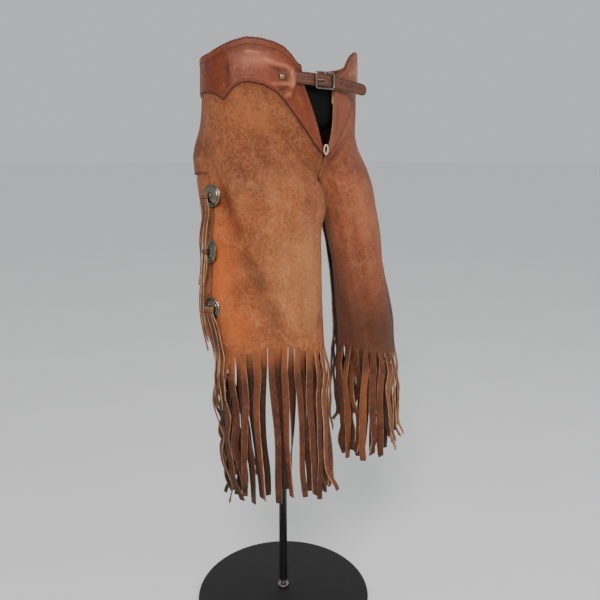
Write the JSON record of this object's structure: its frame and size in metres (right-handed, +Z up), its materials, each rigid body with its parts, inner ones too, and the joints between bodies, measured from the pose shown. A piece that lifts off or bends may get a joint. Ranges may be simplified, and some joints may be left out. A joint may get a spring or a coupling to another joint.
{
  "type": "fringed leather chaps on a hip-form stand",
  "caption": "Fringed leather chaps with a scalloped yoke, buckled front strap and conchos with thongs, worn on a black limbless hip form on a pole and round base.",
  "frame": {"origin": "centre of the round base's underside", "axes": "+Z up along the pole, -Y to the garment's front, +X to the wearer's left"},
  "size_m": [0.4407, 0.3722, 1.0862],
  "materials": {
    "panel": "worn, satin",
    "flap": "matt, flesh side and grain",
    "yoke": "waxed, satin",
    "lining": "matt",
    "fringe": "matt, cut edges",
    "strap": "tooled, satin",
    "lace": "matt rawhide",
    "silver": "aged white metal",
    "brass": "dull",
    "black": "satin",
    "iron": "black, slightly rough",
    "steel": "plain"
  },
  "bodies": {
    "root": {"back_flap_left": "flap", "back_flap_right": "flap", "back_lace": "lace", "base_collar": "steel", "base_plate": "iron", "belt_lining_left": "lining", "belt_lining_right": "lining", "buckle_chape": "strap", "buckle_frame": "silver", "buckle_prong": "silver", "chape_rivet": "brass", "concho_lower_left": "silver", "concho_lower_right": "silver", "concho_middle_left": "silver", "concho_middle_right": "silver", "concho_upper_left": "silver", "concho_upper_right": "silver", "crotch_lace": "lace", "front_fringe_left": "fringe", "front_fringe_right": "fringe", "front_strap": "strap", "hip_form": "black", "inner_rod": "steel", "leg_panel_left": "panel", "leg_panel_right": "panel", "pole_sleeve": "black", "rear_fringe_left": "fringe", "rear_fringe_right": "fringe", "strap_rivet": "brass", "tie_lower_left": "strap", "tie_lower_right": "strap", "tie_middle_left": "strap", "tie_middle_right": "strap", "tie_upper_left": "strap", "tie_upper_right": "strap", "yoke_left": "yoke", "yoke_right": "yoke"}
  },
  "joints": []
}
